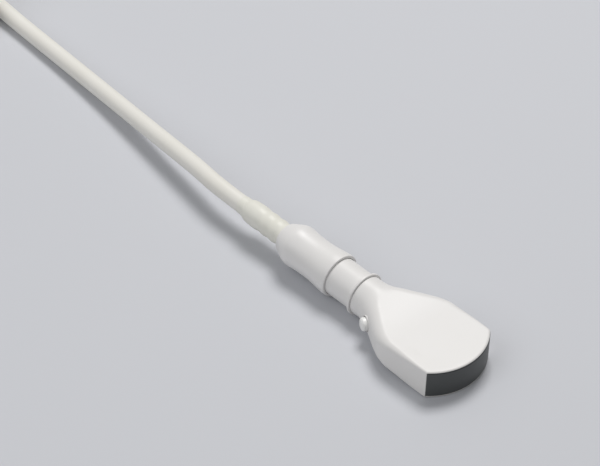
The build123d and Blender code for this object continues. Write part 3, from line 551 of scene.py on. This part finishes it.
def makeLens(settings):
    # a flat grid is extruded, then bent round the array; its rim is rounded off
    shape = bmesh.new()
    bmesh.ops.create_grid(shape, x_segments=settings["columns"], y_segments=settings["rows"], size=1)
    made = bmesh.ops.extrude_face_region(shape, geom=shape.faces[:])["geom"]
    back = {item for item in made if isinstance(item, bmesh.types.BMVert)}
    for vert in shape.verts:
        side = settings["halfWidth"] * sin(pi / 2 * vert.co.x)
        high = settings["halfHeight"] * sin(pi / 2 * vert.co.y)
        inset = min(settings["halfWidth"] - abs(side), settings["halfHeight"] - abs(high))
        if vert in back:
            radius = settings["arc"] - settings["thickness"]
        else:
            rim = max(1 - inset / settings["edge"], 0)
            radius = settings["arc"] - settings["edgeDrop"] * (1 - sqrt(1 - rim ** 2))
        vert.co = Vector((head["arcCentre"] + sqrt(radius ** 2 - side ** 2), side, high))
    return finishPiece("lensFace", shape, probeMatrix, "lensGrey", ["acoustic_lens"])


makeLens(lens)
print("lens made")


# Neck, collar and strain relief: turned profiles

sleeve = {
    "radius": 12.55, "flangeRadius": 14.45, "front": -77.4, "back": -78.9, "flare": 1.9, "flareSteps": 10,
    "round": 0.5, "roundSteps": 6, "rear": -126.0, "bore": 10.5, "boreFront": -104.0, "throat": 8.5,
    "spigotRadius": 10.9, "spigotFront": -69.4, "spigotWall": 1.5,
}


def makeSleeve(settings):
    edge = settings["round"]
    profile = [
        (settings["spigotFront"], settings["spigotRadius"] - settings["spigotWall"]),
        (settings["spigotFront"], settings["spigotRadius"]),
        (settings["front"], settings["spigotRadius"]),
        (settings["front"], settings["flangeRadius"] - edge),
    ]
    profile += arcPoints(
        (settings["front"] - edge, settings["flangeRadius"] - edge), edge, 0, 90, settings["roundSteps"],
    )
    profile += [(settings["back"], settings["flangeRadius"])]
    profile += arcPoints(
        (settings["back"] - settings["flare"], settings["radius"] + settings["flare"]),
        settings["flare"], 0, -90, settings["flareSteps"],
    )
    profile += [
        (settings["rear"], settings["radius"]), (settings["rear"], settings["bore"]),
        (settings["boreFront"], settings["bore"]), (settings["boreFront"], settings["throat"]),
        (settings["spigotFront"], settings["throat"]),
    ]
    shape = spinProfile(profile)
    return finishPiece("neckSleeve", shape, probeMatrix, "housingWhite", ["neck_sleeve"])


makeSleeve(sleeve)

# seal rings in the gaps at the neck and at the collar's lip; their dark grey finish is painted gap shade
seals = (
    {"name": "neckSeal", "node": "neck_seal", "front": head["neckEnd"], "rear": sleeve["front"],
     "outer": 12.9, "inner": 11.0},
    {"name": "collarSeal", "node": "collar_seal", "front": -99.6, "rear": -100.0,
     "outer": 12.95, "inner": 12.55},
)
for seal in seals:
    sealShape = spinProfile([
        (seal["front"], seal["inner"]), (seal["front"], seal["outer"]),
        (seal["rear"], seal["outer"]), (seal["rear"], seal["inner"]),
    ])
    finishPiece(seal["name"], sealShape, probeMatrix, "sealPaintedShade", [seal["node"]])

collar = {
    "outline": (
        (-99.9, 14.5), (-104.0, 14.45), (-108.0, 14.02), (-112.5, 13.55), (-117.0, 13.22), (-121.0, 13.15),
        (-125.5, 13.25), (-129.5, 13.45), (-133.0, 13.84), (-135.4, 13.92), (-137.4, 13.62), (-139.1, 13.05),
        (-140.9, 12.25), (-142.7, 11.4), (-144.6, 10.45), (-146.3, 9.55),
    ),
    "outlineSteps": 5, "front": -99.4, "rear": -147.0, "rearRadius": 8.8,
    "lipRadius": 14.5, "lipRound": 0.5, "lipSteps": 6, "bore": 12.6, "boreRear": sleeve["rear"],
    "grooveRadius": 12.95, "grooveDepth": 0.6, "reliefHole": 7.7,
}


def makeCollar(settings):
    edge, groove = settings["lipRound"], settings["front"] - settings["grooveDepth"]
    profile = [
        (groove, settings["bore"]), (groove, settings["grooveRadius"]),
        (settings["front"], settings["grooveRadius"]), (settings["front"], settings["lipRadius"] - edge),
    ]
    profile += arcPoints(
        (settings["front"] - edge, settings["lipRadius"] - edge), edge, 0, 90, settings["lipSteps"],
    )
    profile += curveThrough(settings["outline"], settings["outlineSteps"])
    profile += [
        (settings["rear"], settings["rearRadius"]), (settings["rear"], settings["reliefHole"]),
        (settings["boreRear"], settings["reliefHole"]), (settings["boreRear"], settings["bore"]),
    ]
    shape = spinProfile(profile)
    return finishPiece("rearCollar", shape, probeMatrix, "housingWhite", ["rear_collar"])


makeCollar(collar)

relief = {
    "front": sleeve["rear"], "flangeRear": -129.0, "flange": 9.6, "neck": 7.64,
    "rear": -186.5, "bore": 5.85, "outlineSteps": 6,
    "outline": (
        (-146.4, 7.64), (-147.6, 7.84), (-149.2, 7.62), (-150.6, 7.5), (-153.4, 7.92), (-156.4, 7.52),
        (-158.0, 7.5), (-161.2, 7.92), (-164.4, 7.52), (-165.9, 7.5), (-169.6, 7.94), (-173.2, 7.86),
        (-176.2, 7.7), (-178.6, 7.42), (-180.2, 6.95), (-181.1, 6.4), (-181.8, 6.14), (-186.0, 6.04),
    ),
}


def makeRelief(settings):
    profile = [
        (settings["front"], settings["bore"]), (settings["front"], settings["flange"]),
        (settings["flangeRear"], settings["flange"]), (settings["flangeRear"], settings["neck"]),
    ]
    profile += curveThrough(settings["outline"], settings["outlineSteps"])
    profile += [(settings["rear"], settings["bore"])]
    shape = spinProfile(profile)
    return finishPiece("strainRelief", shape, probeMatrix, "reliefIvory", ["strain_relief"])


makeRelief(relief)
print("neck, collar and relief made")


# Button: turned pieces on the side of the flare

button = {
    "station": -59.3, "turn": 26.0, "capRadius": 4.25, "capTop": 3.1, "round": 1.2, "roundSteps": 6,
    "dome": 0.95, "domeSteps": 10,
    # where the dome takes over from the rounding, as shares of it, and the rounding's last angle
    "domeInset": 0.4, "domeDrop": 0.1, "domeAngle": 20,
    "foot": -2.4, "footTop": -1.6, "footRadius": 4.65, "rim": 5.5, "rimTop": 0.05, "rimRound": 0.3,
    "rimSteps": 5, "seat": -1.2, "bore": 4.3, "boreEnd": -1.5, "lowerBore": 4.7, "barrel": 5.15,
    "bottom": -6.4, "groove": 0.6, "grooveDepth": 1.4,
    "holeLap": 0.1, "holeDepth": 9.0,  # the head closes over the barrel by the lap, so no gap shows
}


def sideAt(station):
    # half width of the flare at a station, from its table
    for low, high in zip(head["flare"], head["flare"][1:]):
        lowStation = mix(head["neckStart"], head["shoulder"], low[0])
        highStation = mix(head["neckStart"], head["shoulder"], high[0])
        if station <= highStation:
            break
    share = (station - lowStation) / (highStation - lowStation)
    return mix(head["neckRadius"], head["shoulderHalfWidth"], mix(low[1], high[1], share))


buttonMatrix = (
    probeMatrix
    @ Matrix.Translation((button["station"], -sideAt(button["station"]), 0))
    @ Matrix.Rotation(radians(-90 - button["turn"]), 4, "Z")
)


def makeButton(settings):
    edge, dome = settings["round"], settings["domeSteps"]
    cap = [
        (settings["foot"], 0.0), (settings["foot"], settings["footRadius"]),
        (settings["footTop"], settings["footRadius"]), (settings["footTop"], settings["capRadius"]),
    ]
    cap += arcPoints(
        (settings["capTop"] - edge, settings["capRadius"] - edge),
        edge, 90, settings["domeAngle"], settings["roundSteps"],
    )
    for step in range(1, dome + 1):
        share = step / dome
        rise = settings["dome"] * (1 - (1 - share) ** 2)
        cap.append((
            settings["capTop"] - edge * settings["domeDrop"] + rise,
            (settings["capRadius"] - edge * settings["domeInset"]) * (1 - share),
        ))
    shape = spinProfile(cap, drawing["smallTurnSteps"])
    finishPiece("buttonCap", shape, buttonMatrix, "buttonWhite", ["button_cap"], body="button")
    top, edge = settings["rimTop"], settings["rimRound"]
    grooveRadius, grooveFloor = settings["bore"] + settings["groove"], top - settings["grooveDepth"]
    bush = [
        (settings["bottom"], settings["lowerBore"]), (settings["bottom"], settings["barrel"]),
        (settings["seat"], settings["barrel"]), (settings["seat"], settings["rim"]),
    ]
    bush += arcPoints((top - edge, settings["rim"] - edge), edge, 90, 0, settings["rimSteps"])
    bush += [
        (top, grooveRadius), (grooveFloor, grooveRadius), (grooveFloor, settings["bore"]),
        (settings["boreEnd"], settings["bore"]), (settings["boreEnd"], settings["lowerBore"]),
    ]
    shape = spinProfile(bush, drawing["smallTurnSteps"])
    finishPiece("buttonBush", shape, buttonMatrix, "housingWhite", ["button_bush"])


makeButton(button)


def cutHole(piece, matrix, radius, depth):
    # a round hole through one wall of a piece
    shape = bmesh.new()
    bmesh.ops.create_cone(
        shape, segments=drawing["smallTurnSteps"], radius1=radius, radius2=radius, depth=2 * depth,
        cap_ends=True, matrix=matrix @ Matrix.Rotation(pi / 2, 4, "Y"),
    )
    mesh = meshFrom("cutter", shape)
    cutter = addObject("cutter", mesh)
    modifier = piece.modifiers.new("hole", "BOOLEAN")
    modifier.object = cutter
    modifier.operation = "DIFFERENCE"
    modifier.solver = "EXACT"
    graph = bpy.context.evaluated_depsgraph_get()
    holed = bpy.data.meshes.new_from_object(piece.evaluated_get(graph))
    piece.modifiers.remove(modifier)
    bpy.data.objects.remove(cutter)
    bpy.data.meshes.remove(mesh)
    piece.data = holed


cutHole(headShell, buttonMatrix, button["barrel"] - button["holeLap"], button["holeDepth"])
print("button made")


# Lead: one spline from the strain relief through the hank to the plug

lead = {
    "diameter": 11.6, "length": 1.8, "endX": -405.0, "sideY": 32.2, "run": 102.0, "fold": 36.0,
    "layers": 3, "base": 1.2, "overhang": 14.0, "tailLength": 112.0, "plugZ": 17.0,
    "free": (
        (-145.0, 4.3, 18.7), (-172.0, 8.1, 16.3), (-202.0, 12.6, 13.2), (-234.0, 17.3, 10.2),
        (-266.0, 21.5, 7.9), (-298.0, 25.1, 6.4), (-330.0, 28.0, 5.8), (-360.0, 30.4, 5.8),
        (-383.0, 32.2, 7.0),
    ),
    "tail": (
        (0.0, 0.0), (0.16, 0.0), (0.33, 0.14), (0.50, 0.47), (0.67, 0.85), (0.84, 1.0), (1.0, 1.0),
    ),
    "firstRun": 22.0,
    # points round each end of the hank, and how far before it a straight run hands over
    "foldSteps": 6, "ease": 6.0,
    "splineOrder": 3, "splineSteps": 12, "roundSteps": 10,
}


def leadRoute(settings):
    toMm = 1 / mm
    points = [
        (probeMatrix @ Vector((relief["rear"] - run, 0, 0))) * toMm
        for run in (0, settings["firstRun"])
    ]
    points += [Vector(point) for point in settings["free"]]
    layerZ = [
        settings["base"] + settings["diameter"] * (layer + 0.5)
        for layer in range(settings["layers"] + 1)
    ]
    nearX, farX = settings["endX"], settings["endX"] - settings["run"]
    halfX, ease = (nearX + farX) / 2, settings["ease"]
    nearY, middleY = settings["sideY"], settings["sideY"] - settings["fold"]
    farY = middleY - settings["fold"]
    steps = settings["foldSteps"]
    reach = settings["fold"] / cos(radians(90 / steps))
    points.append(Vector((nearX, nearY, layerZ[0])))
    for low, high in zip(layerZ, layerZ[1:]):
        points += [Vector((x, nearY, low)) for x in (halfX, farX + ease)]
        for step in range(steps):
            angle = radians(90 + (step + 0.5) * 180 / steps)
            points.append(Vector((farX + reach * cos(angle), middleY + reach * sin(angle), low)))
        points += [Vector((x, farY, low)) for x in (farX + ease, halfX, nearX - ease)]
        for step in range(steps):
            angle = radians(-90 + (step + 0.5) * 180 / steps)
            climb = mix(low, high, smoothShare((step + 0.5) / (steps - 1)))
            points.append(Vector((nearX + reach * cos(angle), middleY + reach * sin(angle), climb)))
        points.append(Vector((nearX - ease, nearY, high)))
    points.append(Vector((halfX, nearY, layerZ[-1])))
    tailX = farX - settings["overhang"]
    points += [
        Vector((
            tailX - along * settings["tailLength"], nearY, mix(layerZ[-1], settings["plugZ"], drop),
        ))
        for along, drop in settings["tail"]
    ]
    return points


def makeLead(settings):
    route = leadRoute(settings)
    curve = bpy.data.curves.new("lead", "CURVE")
    curve.dimensions = "3D"
    spline = curve.splines.new("NURBS")
    spline.points.add(len(route) - 1)
    for point, place in zip(spline.points, route):
        point.co = (*(place * mm), 1)
    spline.order_u = settings["splineOrder"]
    spline.use_endpoint_u = True
    spline.resolution_u = settings["splineSteps"]
    curve.bevel_depth = settings["diameter"] / 2 * mm
    curve.bevel_resolution = settings["roundSteps"]
    curve.use_fill_caps = True
    curve.materials.append(materials["cableIvory"])
    piece = addObject("lead", curve)
    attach(piece, "probe")
    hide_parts("cable", "cable_hank", "cable_tail")
    return piece, route


leadPiece, leadPoints = makeLead(lead)
print("lead made")


# Plug: a two-part shell with grip grooves, a ribbed boot and a turning knob.
# Stations run from its rear face outwards, so along the shell they are negative.

plug = {
    "rearX": -659.0, "middleY": 12.7, "middleZ": lead["plugZ"],
    "length": 72.0, "halfWidth": 31.0, "halfHeight": 17.0,
    "corner": 5.0, "wall": 2.5, "edge": 1.2, "rimEdge": 0.7, "edgeSteps": 4, "partingGap": 0.4,
    "leastCorner": 0.4, "rimChamfer": 0.3,
    "grooves": 7, "grooveStart": 15.0, "groovePitch": 5.2, "grooveWidth": 3.0, "grooveDepth": 1.3,
    # across a groove: share of its width, then of its depth
    "grooveShape": ((0, 0), (0.12, 0.35), (0.3, 1), (0.7, 1), (0.88, 0.35), (1, 0)),
    "cornerSteps": 8, "flatSteps": 4, "sideSteps": 4,
    "bootY": lead["sideY"], "bootHole": 8.0, "shaftHole": 3.8, "holeDepth": 3.5,
    "screwHole": 2.4, "screwDepth": 2.25, "screwInset": (10.5, 51.0), "screwSide": 24.3,
}


def plugMatrix(y):
    return worldMatrix @ Matrix.Translation((plug["rearX"], y, plug["middleZ"]))


def plugShell(settings):
    wide, high, corner, wall = (settings[key] for key in ("halfWidth", "halfHeight", "corner", "wall"))
    quarter = quarterTurn(settings["edgeSteps"])
    places = []

    def ring(station, inset, side=0.0):
        places.append(sectionRing(
            settings, -station, wide - inset - side, high - inset,
            max(corner - inset, settings["leastCorner"]), 0,
        ))

    for angle in reversed(quarter):
        ring(settings["edge"] * (1 - sin(angle)), settings["edge"] * (1 - cos(angle)))
    for number in range(settings["grooves"]):
        start = settings["grooveStart"] + number * settings["groovePitch"]
        for share, depth in settings["grooveShape"]:
            ring(start + share * settings["grooveWidth"], 0, settings["grooveDepth"] * depth)
    for angle in quarter:
        edge = settings["rimEdge"]
        ring(settings["length"] - edge * (1 - sin(angle)), edge * (1 - cos(angle)))
    ring(settings["length"], wall - settings["rimChamfer"])
    ring(settings["length"] - settings["rimChamfer"], wall)
    ring(wall, wall)
    return ringSkin(ringCount(settings), places)


def makePlugHalf(name, settings, side, node):
    # side is 1 for the upper half and -1 for the lower
    shape = plugShell(settings)
    cut = bmesh.ops.bisect_plane(
        shape, geom=shape.verts[:] + shape.edges[:] + shape.faces[:], dist=drawing["mergeGap"],
        plane_co=(0, 0, side * settings["partingGap"] / 2), plane_no=(0, 0, side), clear_inner=True,
    )
    rim = [item for item in cut["geom_cut"] if isinstance(item, bmesh.types.BMEdge)]
    bmesh.ops.triangle_fill(shape, edges=rim, use_beauty=True)
    return finishPiece(name, shape, plugMatrix(settings["middleY"]), "plugGrey", [node])


def makePlug(settings):
    upper = makePlugHalf("plugUpperShell", settings, 1, "plug_upper_shell")
    lower = makePlugHalf("plugLowerShell", settings, -1, "plug_lower_shell")
    for piece in (upper, lower):
        cutHole(piece, plugMatrix(settings["bootY"]), settings["bootHole"], settings["holeDepth"])
        cutHole(piece, plugMatrix(settings["middleY"]), settings["shaftHole"], settings["holeDepth"])
    for station in settings["screwInset"]:
        for side in (-1, 1):
            y = settings["middleY"] + side * settings["screwSide"]
            place = Matrix.Translation((settings["rearX"] - station, y, 0))
            matrix = worldMatrix @ place @ Matrix.Rotation(-pi / 2, 4, "Y")
            cutHole(lower, matrix, settings["screwHole"], settings["screwDepth"])
    return [upper, lower]


boot = {
    "length": 26.0, "base": 8.0, "nose": 6.6, "bore": 5.85, "inside": -4.5, "flange": 8.9,
    "flangeOut": -2.5, "holeGap": 0.02, "noseRound": 0.4, "noseDrop": 0.1, "outlineSteps": 4,
    # ribs and the plain start are given in shares of one rib's pitch, depths in shares of a rib's depth
    "ribs": 4, "ribDepth": 0.7, "plainStart": 0.8,
    "ribShape": ((0.0, 0.25), (0.12, 0.85), (0.25, 1.0), (0.38, 0.85), (0.5, 0.25), (0.75, 0.05)),
}


def makeBoot(settings):
    length, nose, pitch = settings["length"], settings["nose"], settings["length"] / (settings["ribs"] + 1)
    edge, limit = settings["noseRound"], settings["base"] - settings["holeGap"]

    def taper(station):
        return mix(settings["base"], nose, station / length)

    outline = [(station, taper(station)) for station in (0.0, pitch * settings["plainStart"])]
    for rib in range(settings["ribs"]):
        start = pitch * (rib + 1)
        outline += [
            (start + pitch * share, taper(start) - settings["ribDepth"] * depth)
            for share, depth in settings["ribShape"]
        ]
    outline += [(length - edge, nose - settings["noseDrop"]), (length, nose - edge)]
    profile = [
        (settings["inside"], settings["bore"]), (settings["inside"], settings["flange"]),
        (settings["flangeOut"], settings["flange"]), (settings["flangeOut"], limit),
    ]
    line = curveThrough(outline, settings["outlineSteps"])
    profile += [(station, min(radius, limit)) for station, radius in line]
    profile += [(length, settings["bore"])]
    shape = spinProfile(profile, drawing["smallTurnSteps"])
    return finishPiece("plugBoot", shape, plugMatrix(plug["bootY"]), "plugBootGrey", ["plug_strain_relief"])


knob = {
    "seat": 0.3, "radius": 10.5, "thickness": 5.0, "edge": 0.8, "footEdge": 0.4, "gripLength": 18.6,
    "gripWidth": 7.0, "gripHeight": 7.0, "gripCorner": 0.97, "fillet": 0.9, "filletReach": 0.3, "steps": 5,
    "cornerSteps": 16, "flatSteps": 6, "sideSteps": 2,
}


def makeKnob(settings):
    # one skin: seat, round disc, then the flat grip that stands on it
    foot, edge, fillet = settings["footEdge"], settings["edge"], settings["fillet"]
    thick, tall = settings["thickness"], settings["thickness"] + settings["gripHeight"]
    quarter = quarterTurn(settings["steps"])
    places = []

    def disc(station, radius):
        places.append(sectionRing(settings, settings["seat"] + station, radius, radius, radius, 1))

    def grip(station, grow):
        half = settings["gripWidth"] / 2 + grow
        places.append(sectionRing(
            settings, settings["seat"] + station, settings["gripLength"] / 2 + grow, half,
            half * settings["gripCorner"], 0,
        ))

    disc(0, settings["radius"] - foot)
    disc(foot, settings["radius"])
    for angle in quarter:
        disc(thick - edge * (1 - sin(angle)), settings["radius"] - edge * (1 - cos(angle)))
    for angle in quarter:
        grip(thick + fillet * (1 - cos(angle)), fillet * (1 - sin(angle)) * settings["filletReach"])
    for angle in quarter:
        grip(tall - edge * (1 - sin(angle)), -edge * (1 - cos(angle)))
    shape = ringSkin(ringCount(settings), places)
    return finishPiece("lockKnob", shape, plugMatrix(plug["middleY"]), "knobGrey", ["lock_knob"], body="lock")


# Straps round the two sides of the folded lead, each with its end lapped over

ties = {
    "middleX": -456.0, "width": 16.0, "thickness": 1.2, "gap": 0.1, "edge": 0.35, "edgeSteps": 3,
    # each bundle: its lead's y, and how many turns lie on each other
    "bundles": ((lead["sideY"], 4), (lead["sideY"] - 2 * lead["fold"], 3)), "corner": 0.97,
    "lapHeight": 20.0, "lapInset": 0.6, "lapThickness": 1.0, "lapSink": 0.05,
    "lapRound": 2.0, "lapRoundSteps": 6, "lapEdge": 0.35, "lapEdgeSteps": 3,
    "cornerSteps": 14, "flatSteps": 2, "sideSteps": 12,
}


def makeStrap(settings, bundle):
    # a closed band: its rounded oblong section is swept round the bundle
    thick, edge, half = settings["thickness"], settings["edge"], settings["width"] / 2
    inner = lead["diameter"] / 2 + settings["gap"]
    places = []
    for quarter, (alongSide, outSide) in enumerate(((1, 1), (-1, 1), (-1, -1), (1, -1))):
        for step in range(settings["edgeSteps"] + 1):
            angle = pi / 2 * (quarter + step / settings["edgeSteps"])
            along = alongSide * (half - edge) + edge * cos(angle)
            grow = thick / 2 + outSide * (thick / 2 - edge) + edge * sin(angle)
            places.append(sectionRing(
                settings, along, inner + grow, bundle + grow, (inner + grow) * settings["corner"], 0,
            ))
    return ringSkin(ringCount(settings), places, joined=True)


def makeLap(settings):
    # the strap's end: rounded corners, then a soft outer edge
    lap = bmesh.new()
    bmesh.ops.create_cube(lap, size=1)
    size = (settings["width"] - 2 * settings["lapInset"], settings["lapThickness"], settings["lapHeight"])
    bmesh.ops.scale(lap, vec=size, verts=lap.verts)
    bmesh.ops.bevel(
        lap, geom=[item for item in lap.edges if item.verts[0].co.y != item.verts[1].co.y],
        offset=settings["lapRound"], segments=settings["lapRoundSteps"], profile=0.5, affect="EDGES",
        material=-1,
    )
    bmesh.ops.bevel(
        lap, geom=[item for item in lap.edges if item.verts[0].co.y > 0 and item.verts[1].co.y > 0],
        offset=settings["lapEdge"], segments=settings["lapEdgeSteps"], profile=0.5, affect="EDGES",
        material=-1,
    )
    return lap


def makeTies(settings):
    shape = bmesh.new()
    reach = lead["diameter"] / 2 + settings["gap"] + settings["thickness"]
    for sideY, layers in settings["bundles"]:
        bundle = layers * lead["diameter"] / 2
        outer = sideY + reach + settings["lapThickness"] / 2 - settings["lapSink"]
        for part, y in ((makeStrap(settings, bundle), sideY), (makeLap(settings), outer)):
            place = (settings["middleX"], y, settings["thickness"] + bundle)
            bmesh.ops.translate(part, verts=part.verts, vec=place)
            mesh = meshFrom("strapPart", part)
            shape.from_mesh(mesh)
            bpy.data.meshes.remove(mesh)
    return finishPiece("hankStraps", shape, worldMatrix, "tieBlack", ["hank_ties"])


plugPieces = makePlug(plug) + [makeBoot(boot), makeKnob(knob), makeTies(ties)]
plugPieces += [
    frame["nodes"][name]
    for name in ("plug_screws", "plug_insert", "plug_board", "plug_contacts", "lock_shaft")
]
print("plug and straps made")


# Floor, light and world

studio = {
    "floorColor": (0.59, 0.60, 0.635), "floorRoughness": 0.7, "floorSize": 6.0,
    "worldColor": (0.95, 0.96, 0.95), "worldStrength": 0.28,
    "lamps": (
        # name, place, size, power, colour
        ("keyPanel", (-0.50, 0.85, 2.05), 0.9, 32.5, (1.0, 0.99, 0.98)),
        ("fillPanel", (-0.1, -1.5, 1.5), 1.5, 11.2, (0.97, 0.98, 1.0)),
    ),
}


def makeStudio(settings):
    shape = bmesh.new()
    bmesh.ops.create_grid(shape, x_segments=1, y_segments=1, size=settings["floorSize"] / 2)
    floor = addObject("floor", meshFrom("floor", shape))
    material = bpy.data.materials.new("floorPaper")
    material.use_nodes = True
    shader = material.node_tree.nodes["Principled BSDF"]
    shader.inputs["Base Color"].default_value = (*settings["floorColor"], 1)
    shader.inputs["Roughness"].default_value = settings["floorRoughness"]
    floor.data.materials.append(material)
    world = bpy.data.worlds.new("studioWorld")
    world.use_nodes = True
    background = world.node_tree.nodes["Background"]
    background.inputs["Color"].default_value = (*settings["worldColor"], 1)
    background.inputs["Strength"].default_value = settings["worldStrength"]
    scene.world = world
    for name, place, size, power, color in settings["lamps"]:
        light = bpy.data.lights.new(name, "AREA")
        light.size = size
        light.energy = power
        light.color = color
        # each panel faces the origin
        facing = (-Vector(place)).to_track_quat("-Z", "Y").to_matrix().to_4x4()
        addObject(name, light).matrix_world = Matrix.Translation(place) @ facing
    scene.view_settings.view_transform = "Standard"


makeStudio(studio)
print("studio made")
